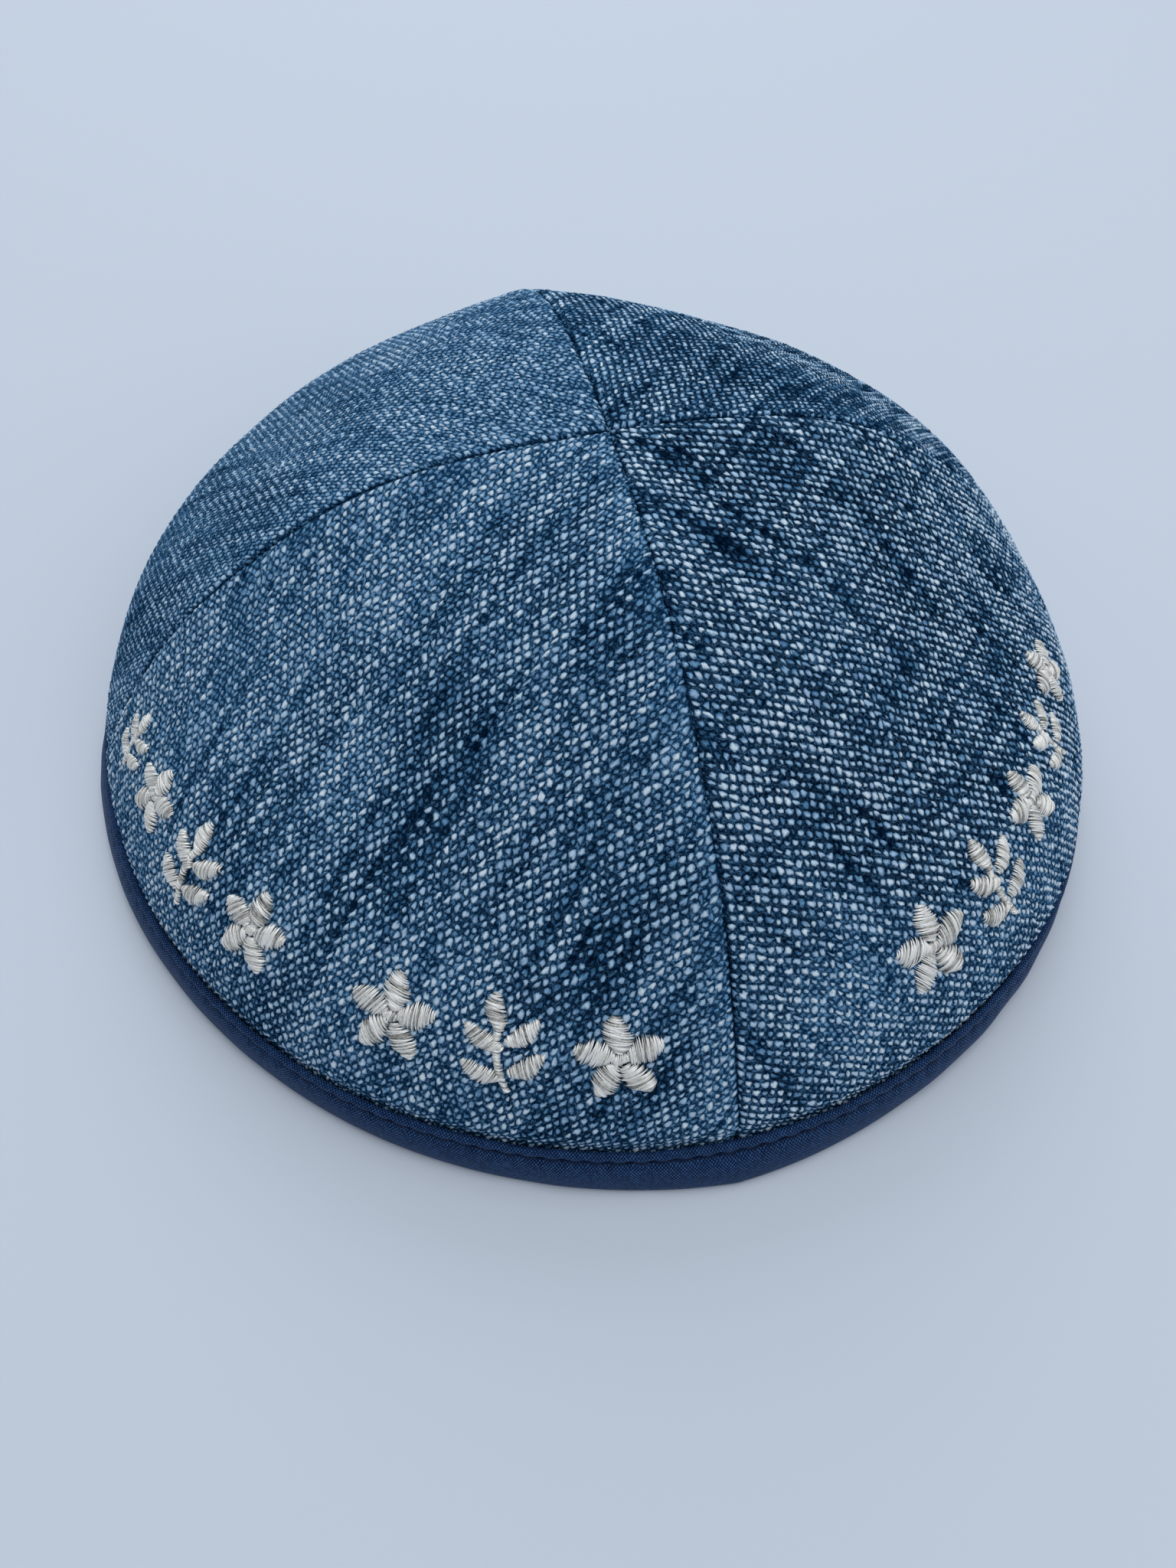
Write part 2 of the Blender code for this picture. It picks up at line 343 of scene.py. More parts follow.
class Nodes:
    """Short words for placing and joining shader nodes in one tree."""

    def __init__(self, tree):
        self.tree = tree

    def add(self, kind, inputs=(), **settings):
        node = self.tree.nodes.new(kind if kind.startswith("Node") else "ShaderNode" + kind)
        for key, value in settings.items():
            setattr(node, key, value)
        for key, value in dict(inputs).items():
            if isinstance(value, bpy.types.NodeSocket):
                self.tree.links.new(value, node.inputs[key])
            else:
                node.inputs[key].default_value = value
        return node

    def math(self, operation, *values, clamp=False):
        return self.add("Math", dict(enumerate(values)), operation=operation, use_clamp=clamp).outputs[0]

    def ramp(self, value, *stops):
        """Colour by value, from stops of a place and a colour each."""
        node = self.add("ValToRGB", {0: value})
        ramp = node.color_ramp
        while len(ramp.elements) < len(stops):
            ramp.elements.new(1.0)
        for element, (place, colour) in zip(ramp.elements, stops):
            element.position = place
            element.color = (*colour, 1)
        return node.outputs[0]

    def between(self, value, low, high):
        """0 below low and 1 above high, eased."""
        node = self.add("MapRange", {0: value, 1: low, 2: high}, interpolation_type="SMOOTHSTEP")
        return node.outputs[0]

    def mix(self, share, a, b, blend="MIX"):
        node = self.add("Mix", {0: share, 6: a, 7: b}, data_type="RGBA", blend_type=blend)
        return node.outputs[2]


def plain_weave_group():
    """A plain weave in yarn counts: a nub of pale yarn at every second crossing, the crossing yarn
    between them, loose fibres, and the height of it all. Nub, Core, Weft and Fibres are masks;
    Nub value and Nub hue are chance for each nub, and Strands is the streaky tone of its yarn, with painted
    shade darkening each nub towards its upper end.
    """
    group = bpy.data.node_groups.new("plain weave", "ShaderNodeTree")
    socket(group, "Yarns", "NodeSocketVector", "INPUT")
    for name, value in (("Wander", 0.3), ("Nub size", 0.5), ("Slant", 0.3), ("Ragged", 0.8)):
        socket(group, name, "NodeSocketFloat", "INPUT", value)
    for name in ("Nub", "Core", "Weft", "Nub value", "Nub hue", "Strands", "Fibres", "Height"):
        socket(group, name, "NodeSocketFloat", "OUTPUT")
    n = Nodes(group)
    given = n.add("NodeGroupInput").outputs
    # The yarns wander: whole yarns slowly, then in patches, then nub by nub
    yarns = given["Yarns"]
    for spread, reach in (
        ((0.77, 0.07, 1.0), (0.45, 1.00, 0.0)),
        ((0.60, 0.60, 1.0), (0.45, 0.45, 0.0)),
        ((1.90, 1.90, 1.0), (0.12, 0.12, 0.0)),
    ):
        spaced = n.add("VectorMath", {0: given["Yarns"], 1: spread}, operation="MULTIPLY").outputs[0]
        drift = n.add("TexNoise", {"Vector": spaced, "Scale": 1.0, "Detail": 1.0})
        centred = n.add("VectorMath", {0: drift.outputs["Color"], 1: (0.5, 0.5, 0.5)}, operation="SUBTRACT")
        shaped = n.add("VectorMath", {0: centred.outputs[0], 1: reach}, operation="MULTIPLY")
        moved = n.add("VectorMath", {0: shaped.outputs[0], "Scale": given["Wander"]}, operation="SCALE")
        yarns = n.add("VectorMath", {0: yarns, 1: moved.outputs[0]}, operation="ADD").outputs[0]
    split = n.add("SeparateXYZ", {0: yarns}).outputs
    x, y = split[0], split[1]
    # The nearest nub: nubs lie where the two yarn counts add up to an even number
    near_s = n.math("ROUND", n.math("MULTIPLY", n.math("ADD", x, y), 0.5))
    near_t = n.math("ROUND", n.math("MULTIPLY", n.math("SUBTRACT", x, y), 0.5))
    nub_x = n.math("ADD", near_s, near_t)
    nub_y = n.math("SUBTRACT", near_s, near_t)
    which = n.add("CombineXYZ", {0: nub_x, 1: nub_y, 2: 0.5})
    chance = n.add("TexWhiteNoise", {"Vector": which.outputs[0]}, noise_dimensions="3D")
    hue = n.add("SeparateColor", {0: chance.outputs["Color"]}).outputs
    off_y = n.math("SUBTRACT", y, nub_y)
    off_x = n.math("ADD", n.math("SUBTRACT", x, nub_x), n.math("MULTIPLY", off_y, given["Slant"]))
    # Each nub is a drop of its own size, thinner towards its upper end, with a frayed outline
    own_size = n.math("ADD", 0.78, n.math("MULTIPLY", chance.outputs[0], 0.44))
    size = n.math("MULTIPLY", given["Nub size"], own_size)
    along = n.math("DIVIDE", off_y, n.math("MULTIPLY", size, 1.05))
    taper = n.math("SUBTRACT", 1.02, n.math("MULTIPLY", along, 0.26))
    girth = n.math("MULTIPLY", size, n.math("MAXIMUM", taper, 0.4))
    far_x = n.math("POWER", n.math("DIVIDE", n.math("ABSOLUTE", off_x), girth), 2.0)
    far_y = n.math("POWER", n.math("ABSOLUTE", along), 2.0)
    frayed = n.add("TexNoise", {"Vector": yarns, "Scale": 2.3, "Detail": 2.0, "Roughness": 0.6}).outputs[0]
    fray = n.math("MULTIPLY", n.math("SUBTRACT", frayed, 0.5), n.math("MULTIPLY", given["Ragged"], 3.0))
    far = n.math("ADD", n.math("ADD", far_x, far_y), fray)
    nub = n.math("SUBTRACT", 1.0, n.between(far, 0.70, 1.35))
    core = n.math("SUBTRACT", 1.0, n.between(far, 0.0, 1.15))
    # The crossing yarn shows where the weave's two waves are of unlike sign
    wave_x = n.math("COSINE", n.math("MULTIPLY", x, np.pi))
    wave_y = n.math("COSINE", n.math("MULTIPLY", y, np.pi))
    weft = n.between(n.math("SUBTRACT", fray, n.math("MULTIPLY", wave_x, wave_y)), 0.10, 0.85)
    # Loose fibres: fine stray lines, and a loop that bends out beside some of the nubs
    hairs = n.add("TexNoise", {"Vector": yarns, "Scale": 1.7, "Detail": 2.0, "Distortion": 1.6})
    fibres = n.math("SUBTRACT", 1.0, n.between(
        n.math("ABSOLUTE", n.math("SUBTRACT", hairs.outputs[0], 0.5)), 0.004, 0.022))
    wide = n.math("MULTIPLY", off_x, 0.8)
    away = n.math("SQRT", n.math("ADD", n.math("MULTIPLY", wide, wide), n.math("MULTIPLY", off_y, off_y)))
    bend = n.math("MULTIPLY_ADD", frayed, 0.5, 0.36)
    off_bend = n.math("ABSOLUTE", n.math("SUBTRACT", away, bend))
    loop = n.math("SUBTRACT", 1.0, n.between(off_bend, 0.012, 0.065))
    sideways = n.math("MULTIPLY_ADD", off_y, -0.35, n.math("MULTIPLY", wide, -1.0))
    beside = n.between(sideways, 0.12, 0.40)
    loop = n.math("MULTIPLY", n.math("MULTIPLY", loop, beside), n.between(hue[2], 0.50, 0.90))
    fibres = n.math("MAXIMUM", fibres, loop)
    # The strands of a nub's yarn run up it, and other strands lie on the next nub
    on_nub = n.add("CombineXYZ", {
        0: n.math("MULTIPLY", off_x, 5.5),
        1: n.math("MULTIPLY", off_y, 1.2),
        2: n.math("MULTIPLY", chance.outputs[0], 40.0),
    })
    strands = n.add("TexNoise", {"Vector": on_nub.outputs[0], "Scale": 1.0, "Detail": 2.0})
    # Painted shade: each nub's tone darkens towards its thinner upper end.
    strand_tone_and_painted_shade = n.math("SUBTRACT", strands.outputs[0], n.math("MULTIPLY", along, 0.20))
    height = n.math("ADD", n.math("MULTIPLY", core, 0.55), n.math("MULTIPLY", nub, 0.30))
    height = n.math("ADD", height, n.math("MULTIPLY", weft, 0.18))
    height = n.math("ADD", height, n.math("MULTIPLY", strands.outputs[0], 0.22))
    out = n.add("NodeGroupOutput")
    for name, value in (
        ("Nub", nub), ("Core", core), ("Weft", weft), ("Nub value", chance.outputs[0]),
        ("Nub hue", hue[1]), ("Strands", strand_tone_and_painted_shade), ("Fibres", fibres), ("Height", height),
    ):
        group.links.new(value, out.inputs[name])
    return group


def gore_cloth(weave, name, slant):
    """Heathered blue cloth: pale nubs over a navy ground, by the sheet's own pale and filled values."""
    material = bpy.data.materials.new(name)
    material.use_nodes = True
    tree = material.node_tree
    tree.nodes.clear()
    n = Nodes(tree)
    yarns = n.add("UVMap", uv_map="yarn count").outputs[0]
    woven = n.add(
        "Group", {"Yarns": yarns, "Wander": 1.50, "Nub size": 0.485, "Slant": slant, "Ragged": 0.55},
        node_tree=weave).outputs
    # The pale and filled attributes also carry the painted shade of the seam creases and the painted sheen
    # of some patches.
    pale = n.add("Attribute", attribute_name="pale").outputs["Fac"]
    filled = n.add("Attribute", attribute_name="filled").outputs["Fac"]
    yarn_noise = n.add("TexNoise", {"Vector": yarns, "Scale": 0.9, "Detail": 3.0, "Roughness": 0.65})
    yarn_tone = yarn_noise.outputs[0]
    tone = n.math("ADD", pale, n.math("MULTIPLY", n.math("SUBTRACT", woven["Nub value"], 0.5), 0.24))
    tone = n.math("ADD", tone, n.math("MULTIPLY", n.math("SUBTRACT", woven["Strands"], 0.5), 0.50))
    tone = n.math("ADD", tone, n.math("MULTIPLY", n.math("SUBTRACT", yarn_tone, 0.5), 0.4), clamp=True)
    # Each nub is lighter at its core than at its edge, partly the yarn's own tone and partly painted shade
    # of the nub's rounded form.
    edge_colour = n.ramp(
        tone,
        (0.08, (0.0004, 0.0070, 0.0260)),
        (0.45, (0.0110, 0.0700, 0.1700)),
        (1.00, (0.1000, 0.2700, 0.4700)),
    )
    core_colour = n.ramp(
        tone,
        (0.08, (0.0010, 0.0130, 0.0420)),
        (0.36, (0.1150, 0.2900, 0.5000)),
        (0.66, (0.4500, 0.6500, 0.8700)),
        (1.00, (0.8200, 0.9200, 1.0000)),
    )
    blue_yarn = n.mix(0.55, core_colour, (0.05, 0.20, 0.46, 1), blend="MULTIPLY")
    bluer = n.mix(0.6, core_colour, blue_yarn)
    core_colour = n.mix(n.between(woven["Nub hue"], 0.55, 1.0), core_colour, bluer)
    nub_colour = n.mix(woven["Core"], edge_colour, core_colour)
    showing = n.math("MULTIPLY_ADD", filled, 0.86, 0.14)
    grain = n.math("MULTIPLY_ADD", n.between(woven["Strands"], 0.25, 0.70), 0.70, 0.30)
    patchy_weft = n.math("MULTIPLY", woven["Weft"], n.between(yarn_tone, 0.28, 0.60))
    weft_tone = n.math("MULTIPLY", n.math("MULTIPLY", showing, grain), patchy_weft)
    weft_tone = n.math("MULTIPLY_ADD", n.math("MULTIPLY", filled, filled), 0.24, weft_tone)
    weft_colour = n.ramp(
        weft_tone,
        (0.0, (0.0000, 0.0026, 0.0110)),
        (0.3, (0.0042, 0.0360, 0.0980)),
        (1.0, (0.1700, 0.3700, 0.6100)),
    )
    colour = n.mix(woven["Nub"], weft_colour, nub_colour)
    hair_share = n.math("MULTIPLY", woven["Fibres"], n.math("MULTIPLY", pale, 0.55))
    colour = n.mix(hair_share, colour, (0.20, 0.46, 0.80, 1))
    bump = n.add("Bump", {"Strength": 0.9, "Distance": 0.00030, "Height": woven["Height"]})
    shader = n.add("BsdfPrincipled", {
        "Base Color": colour, "Roughness": 0.92, "Normal": bump.outputs[0],
        "Sheen Weight": 0.03, "Sheen Roughness": 0.5, "Sheen Tint": (0.08, 0.45, 1.0, 1),
        "Specular IOR Level": 0.0,
    })
    out = n.add("OutputMaterial")
    tree.links.new(shader.outputs[0], out.inputs[0])
    return material


SEAM_GROOVE, SEAM_GROOVE_WIDTH = 0.00036, 0.00042
SEAM_RIDGE, SEAM_RIDGE_WIDTH, SEAM_RIDGE_PLACE = 0.00014, 0.0016, 0.0024
SEAM_PAINTED_SHADE_WIDTH, SEAM_BAND_WIDTH = 0.00032, 0.0034
NUB_RISE, WEFT_RISE, WEAVE_DEPTH, RIPPLE_RISE = 0.00024, 0.00008, 0.00012, 0.00018
# Each field of chance has a number of its own and patches of this size across and up, in mm
# and for the single yarns in yarn counts
CHANCE_FIELDS = {
    "slubs up": (0, 1.2, 18.0),
    "slubs across": (1, 12.0, 1.1),
    "patches": (2, 7.0, 12.0),
    "broad patches": (3, 22.0, 30.0),
    "ripples": (4, 11.0, 11.0),
    "single yarns": (5, 1.0, 13.0),
}


def cloth_chance(seed, field, x, y):
    """One of the cloth's fields of chance, from -1 to 1."""
    number, across, up = CHANCE_FIELDS[field]
    return cloth_noise(np.random.default_rng(seed * 100 + number), x, y, across, up)


def roll_at_seam(distance):
    """How far the cloth rolls in at a seam, with the soft ridge of the turned edge beside it."""
    groove = np.exp(-((distance / SEAM_GROOVE_WIDTH) ** 2))
    ridge = np.exp(-(((distance - SEAM_RIDGE_PLACE) / SEAM_RIDGE_WIDTH) ** 2))
    return -SEAM_GROOVE * groove + SEAM_RIDGE * ridge


def tape_rise(compass):
    """How much higher than elsewhere the binding's upper edge stands, widest at the front right."""
    off = np.mod(compass - TAPE_RISE_PLACE + np.pi, 2 * np.pi) - np.pi
    return TAPE_RISE * np.exp(-((off / TAPE_RISE_SPREAD) ** 2))


def heathering(gore, x, y, yarn_u, yarn_v, seam):
    """How pale the yarn is at each vertex, and how much of it shows between the nubs, with painted shade
    along each seam's crease and painted sheen in some patches.
    """
    cloth = GORE_CLOTH[gore]
    near_s, near_t = np.rint((yarn_u + yarn_v) / 2), np.rint((yarn_u - yarn_v) / 2)
    nub_i, nub_j = near_s + near_t, near_s - near_t
    nub_x, nub_y = nub_i * cloth.gap_across, nub_j * cloth.gap_up
    slub_up = cloth_chance(cloth.seed, "slubs up", nub_x, nub_y)
    slub_across = cloth_chance(cloth.seed, "slubs across", nub_x, nub_y)
    patch = cloth_chance(cloth.seed, "patches", nub_x, nub_y)
    broad = cloth_chance(cloth.seed, "broad patches", nub_x, nub_y)
    one_yarn = cloth_chance(cloth.seed, "single yarns", nub_i, nub_j)
    along_yarns = 0.50 * slub_up + 0.60 * one_yarn
    along_yarns = np.where(along_yarns > 0, 0.65, 1.15) * along_yarns
    pale = cloth.pale + cloth.streaks_up * along_yarns + cloth.streaks_across * slub_across
    pale = pale + 0.07 * patch + 0.05 * broad
    pale = pale + cloth.pale_spread * (nub_value(nub_i, nub_j, cloth.seed) - 0.5)
    filled = cloth.filled + 0.25 * (patch + slub_up)
    # Patches of the cloth's own heathering, partly painted sheen.
    for spot_x, spot_y, wide, tall, fuller, paler in HEATHER_AND_PAINTED_SHEEN_PATCHES[gore]:
        spot = np.exp(-(((x * 1000 - spot_x) / wide) ** 2) - ((y * 1000 - spot_y) / tall) ** 2)
        filled, pale = filled + fuller * spot, pale + paler * spot
    # Painted shade: along each seam's crease the nubs are darkened and less pale yarn shows between them.
    crease_painted_shade = np.exp(-((seam / SEAM_PAINTED_SHADE_WIDTH) ** 2))
    pale = np.clip(pale, 0.04, 1.0) * (1 - crease_painted_shade * (0.65 + 0.25 * patch))
    filled = np.clip(filled + cloth.seam_filled * np.exp(-((seam / SEAM_BAND_WIDTH) ** 2)), 0.0, 1.0)
    return pale, filled * (1 - 0.8 * crease_painted_shade)


def woven_gore(gore, weave):
    """One gore as a closed sheet, its face in relief and its yarns counted in its UV map."""
    cloth = GORE_CLOTH[gore]
    gap_across, gap_up, turn = cloth.gap_across / 1000, cloth.gap_up / 1000, np.radians(cloth.turn)
    across, up = (np.cos(turn), np.sin(turn)), (-np.sin(turn), np.cos(turn))
    span = np.mod(SEAM_COMPASS[(gore + 1) % 4] - SEAM_COMPASS[gore], 2 * np.pi)
    foot = SEAM_COMPASS[gore] + span * np.linspace(0, 1, 60)
    foot_radius = cap_form(foot, np.full(60, GRID_FOOT_ANGLE))[0]
    foot_tilt = np.arctan2(foot_radius, GRID_FOOT_HEIGHT + BALL_DROP)
    edge_x, edge_y = compass_to_flat(gore, np.append(foot, foot[:1]), np.append(foot_tilt, 0.0))
    yarn_x = edge_x * across[0] + edge_y * across[1]
    yarn_y = edge_x * up[0] + edge_y * up[1]

    def yarn_lines(values, gap, parts):
        """Places of mesh lines across the gore's whole width, a few for each yarn."""
        low, high = np.floor(np.min(values) / gap) - 2, np.ceil(np.max(values) / gap) + 2
        return np.arange(low * parts, high * parts + 1) * gap / parts

    outside = trimmed_grid(
        cloth.name + "_cloth", gore,
        yarn_lines(yarn_x, gap_across, 2), yarn_lines(yarn_y, gap_up, 3), across, up)
    inside = trimmed_grid(
        cloth.name + "_wrong_side", gore,
        yarn_lines(yarn_x, INSIDE_MESH, 1), yarn_lines(yarn_y, INSIDE_MESH, 1), across, up)
    attributes = []
    for sheet, wall in ((outside, 0.0), (inside, CLOTH)):
        compass, tilt, radius, height = placed_on(sheet)
        x, y = compass_to_flat(gore, compass, tilt)
        yarn_u = (x * across[0] + y * across[1]) / gap_across
        yarn_v = (x * up[0] + y * up[1]) / gap_up
        first_seam = np.abs(radius * np.sin(compass - SEAM_COMPASS[gore]))
        second_seam = np.abs(radius * np.sin(compass - SEAM_COMPASS[(gore + 1) % 4]))
        seam = np.minimum(first_seam, second_seam)
        pale, filled = heathering(gore, x, y, yarn_u, yarn_v, seam)
        tucked = np.clip((height - TAPE_TOP - tape_rise(compass)) / TUCK_EASE, 0, 1)
        tucked = tucked * tucked * (3 - 2 * tucked)
        lift = -(TAPE + TUCK_GAP) * (1 - tucked) - wall
        if sheet is outside:
            crossing = np.cos(np.pi * yarn_u) * np.cos(np.pi * yarn_v)
            raised = np.clip(crossing, 0, 1) ** 0.7 * (0.25 + pale)
            relief = NUB_RISE * raised + WEFT_RISE * np.clip(-crossing, 0, 1)
            lift = lift + relief - WEAVE_DEPTH + roll_at_seam(seam)
            lift = lift + RIPPLE_RISE * cloth_chance(cloth.seed, "ripples", x * 1000, y * 1000) * tucked
        co = on_cap(compass, angle_of_tilt(compass, tilt), lift)
        sheet.data.vertices.foreach_set("co", co.ravel())
        attributes.append((yarn_u, yarn_v, pale, filled))
    sew_edges(outside, inside)
    yarn_u, yarn_v, pale, filled = (np.concatenate(pair) for pair in zip(*attributes))
    corners = np.empty(len(outside.data.loops), dtype=int)
    outside.data.loops.foreach_get("vertex_index", corners)
    while outside.data.uv_layers:
        outside.data.uv_layers.remove(outside.data.uv_layers[0])
    layer = outside.data.uv_layers.new(name="yarn count")
    layer.uv.foreach_set("vector", np.stack((yarn_u[corners], yarn_v[corners]), axis=1).ravel())
    for word, values in (("pale", pale), ("filled", filled)):
        outside.data.attributes.new(word, "FLOAT", "POINT").data.foreach_set("value", values)
    outside.data.materials.clear()
    outside.data.materials.append(
        gore_cloth(weave, "heathered blue cloth " + cloth.name.split("_")[1], cloth.slant))
    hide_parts(cloth.name)
    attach(outside, "root")
    return outside


plain_weave = plain_weave_group()
gores = [woven_gore(gore, plain_weave) for gore in (RIGHT, BACK, LEFT, FRONT)]

# The binding: a navy tape with a satin face, folded over the raw rim and sewn through
# both legs. Its lower fold is round, and the line of stitches pulls a row of dents
# that leaves a narrow lip standing against the cloth.
TAPE_LENGTH_MM, TAPE_RADIUS_MM = 534, 85.0
TAPE_STEPS = 960
TAPE_WAVES, TAPE_SWELLS = 96, 30  # small puckers and slower swells round the tape
# The tape's section once round, from under the fold up the outer leg and over its lip, down inside
# the fold, and up and down the inner leg: how far in from the cap's outside and how high, in mm
TAPE_SECTION = (
    (2.10, 0.00), (1.20, 0.04), (0.55, 0.22), (0.15, 0.70), (-0.05, 1.50), (-0.16, 2.60), (-0.16, 3.80),
    (-0.06, 4.80), (0.06, 5.50), (0.20, 6.00), (0.36, 6.35), (0.26, 6.70), (0.08, 7.10), (0.02, 7.50),
    (0.10, 7.80), (0.38, 8.00), (0.85, 7.95), (1.05, 7.50), (1.05, 3.00), (1.20, 1.60), (2.10, 1.20),
    (3.00, 1.60), (3.15, 3.00), (3.15, 7.00), (3.40, 7.45), (3.80, 7.50), (4.15, 7.20), (4.25, 6.00),
    (4.30, 3.00), (4.10, 1.20), (3.60, 0.32), (3.00, 0.05),
)
GROOVE_POINT = 10  # the point of the section that the line of stitches pulls in most
OUTER_LEG = 0.0012  # the outer leg lies less than this in from the cap's outside
OUTER_FACE = 0.0008
STITCH_COUNT = 178
STITCH_HEIGHT, STITCH_PULL_HEIGHT = 0.0064, 0.0007
PUFF_HEIGHT, PUFF_SPREAD = 0.0035, 0.0022
LIP_FOOT, LIP_HEIGHT = 0.0050, 0.0030


def at_height(compass, height, inset):
    """Angle up the meridian of a height on the cap, near its rim."""
    angle = height / CAP_HEIGHT
    for _ in range(8):
        reached = on_cap(compass, angle, -inset)[..., 2]
        angle = angle + (height - reached) / CAP_HEIGHT
    return angle


def tape_place(compass, inset, height):
    """Point of the tape at an inset from the cap's outside and a height."""
    point = on_cap(compass, at_height(compass, np.clip(height, 0.0, None), inset), -inset)
    point[..., 2] = height
    return point


compass = 2 * np.pi * np.arange(TAPE_STEPS + 1) / TAPE_STEPS
section = np.array(TAPE_SECTION + TAPE_SECTION[:1]) / 1000
bpy.ops.object.select_all(action="DESELECT")
bpy.ops.mesh.primitive_grid_add(x_subdivisions=TAPE_STEPS, y_subdivisions=len(section) - 1, size=1)
tape = bpy.context.object
tape.name = "folded_tape"
flat = np.empty(len(tape.data.vertices) * 3)
tape.data.vertices.foreach_get("co", flat)
flat = flat.reshape(-1, 3)
step = np.rint((flat[:, 0] + 0.5) * TAPE_STEPS).astype(int)
line = np.rint((flat[:, 1] + 0.5) * (len(section) - 1)).astype(int)
tape_rng = np.random.default_rng(21)
round_mm = np.mod(compass, 2 * np.pi - 1e-9) * TAPE_RADIUS_MM
wave = cloth_noise(tape_rng, round_mm, 0 * round_mm, TAPE_LENGTH_MM / TAPE_WAVES, 1.0)
slow = cloth_noise(tape_rng, round_mm, 0 * round_mm, TAPE_LENGTH_MM / TAPE_SWELLS, 1.0)
wave[-1], slow[-1] = wave[0], slow[0]
stitch_share = np.mod(compass / (2 * np.pi) * STITCH_COUNT, 1) - 0.5
dent = np.exp(-((stitch_share / 0.20) ** 2))
rows = []
for inset, height in section:
    near_seam = np.exp(-(((height - STITCH_HEIGHT) / STITCH_PULL_HEIGHT) ** 2)) * (inset < OUTER_LEG)
    puff = np.exp(-(((height - PUFF_HEIGHT) / PUFF_SPREAD) ** 2)) * (inset < OUTER_FACE)
    lip = np.clip((height - LIP_FOOT) / LIP_HEIGHT, 0, 1) * (inset < OUTER_LEG)
    moved_inset = inset + near_seam * (0.00012 + 0.00044 * dent) - puff * (0.00014 * wave + 0.00010 * slow)
    moved_height = height + lip * (tape_rise(compass) + 0.00012 * wave)
    rows.append(tape_place(compass, moved_inset, moved_height))
ring = np.stack(rows, axis=1)
tape.data.vertices.foreach_set("co", ring[step, line].ravel())
across_mm = np.concatenate(([0], np.cumsum(np.hypot(*np.diff(section, axis=0).T)))) * 1000
while tape.data.uv_layers:
    tape.data.uv_layers.remove(tape.data.uv_layers[0])
layer = tape.data.uv_layers.new(name="tape threads")
corners = np.empty(len(tape.data.loops), dtype=int)
tape.data.loops.foreach_get("vertex_index", corners)
along_mm = step * TAPE_LENGTH_MM / TAPE_STEPS
tape_uv = np.stack((along_mm[corners], across_mm[line[corners]]), axis=-1)
layer.uv.foreach_set("vector", tape_uv.ravel())
mesh = bmesh.new()
mesh.from_mesh(tape.data)
bmesh.ops.remove_doubles(mesh, verts=mesh.verts, dist=1e-6)
bmesh.ops.recalc_face_normals(mesh, faces=mesh.faces)
for face in mesh.faces:
    face.smooth = True
mesh.to_mesh(tape.data)
mesh.free()


def tape_cloth(weave, groove_line):
    """Navy tape: a very fine close weave, with painted highlights on its raised threads and painted shade
    darkening the groove that the stitches pull.
    """
    material = bpy.data.materials.new("navy satin tape")
    material.use_nodes = True
    tree = material.node_tree
    tree.nodes.clear()
    n = Nodes(tree)
    threads = n.add("UVMap", uv_map="tape threads").outputs[0]
    counted = n.add("Mapping", {0: threads, "Scale": (1 / 0.23, 1 / 0.25, 1)}).outputs[0]
    woven = n.add(
        "Group", {"Yarns": counted, "Wander": 0.12, "Nub size": 0.46, "Slant": 0.0, "Ragged": 0.25},
        node_tree=weave).outputs
    shade = n.add("TexNoise", {"Vector": threads, "Scale": 0.35, "Detail": 3.0}).outputs[0]
    face = n.ramp(
        shade, (0.30, (0.0008, 0.0075, 0.0340)), (0.70, (0.0018, 0.0125, 0.0540)))
    # Painted highlight: the raised threads of the tape's weave are painted a lighter navy.
    thread_painted_highlight = n.math("MULTIPLY", woven["Nub"], 0.85)
    colour = n.mix(thread_painted_highlight, face, (0.046, 0.138, 0.350, 1))
    across_tape = n.add("SeparateXYZ", {0: threads}).outputs[1]
    # Painted shade: the colour is darkened along the groove that the line of stitches pulls in.
    from_groove = n.math("ABSOLUTE", n.math("SUBTRACT", across_tape, groove_line))
    groove = n.math("SUBTRACT", 1.0, n.between(from_groove, 0.05, 0.45))
    colour = n.mix(n.math("MULTIPLY", groove, 0.70), colour, (0.0002, 0.0030, 0.0160, 1))
    bump = n.add("Bump", {"Strength": 0.9, "Distance": 0.00012, "Height": woven["Height"]})
    shader = n.add("BsdfPrincipled", {
        "Base Color": colour, "Roughness": 0.52, "Normal": bump.outputs[0],
        "Sheen Weight": 0.06, "Sheen Roughness": 0.35, "Sheen Tint": (0.25, 0.50, 1.0, 1),
        "Specular IOR Level": 0.10,
    })
    out = n.add("OutputMaterial")
    tree.links.new(shader.outputs[0], out.inputs[0])
    return material


navy_tape = tape_cloth(plain_weave, across_mm[GROOVE_POINT])
tape.data.materials.clear()
tape.data.materials.append(navy_tape)
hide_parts("rim_binding")
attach(tape, "root")

# The binding's sewing: one line of navy machine thread, each stitch lying in its dent
# between two needle holes.
THREAD_RINGS, THREAD_SIDES = 9, 6
SEWING_THREAD = 0.00024
STITCH_HALF_SHARE = 0.34  # of the spacing of the stitches
STITCH_DEPTH, STITCH_END_DEPTH = 0.00062, 0.00040
STITCH_WANDER, STITCH_TILT, STITCH_RISE_SHARE = 0.00008, 0.00006, 0.47


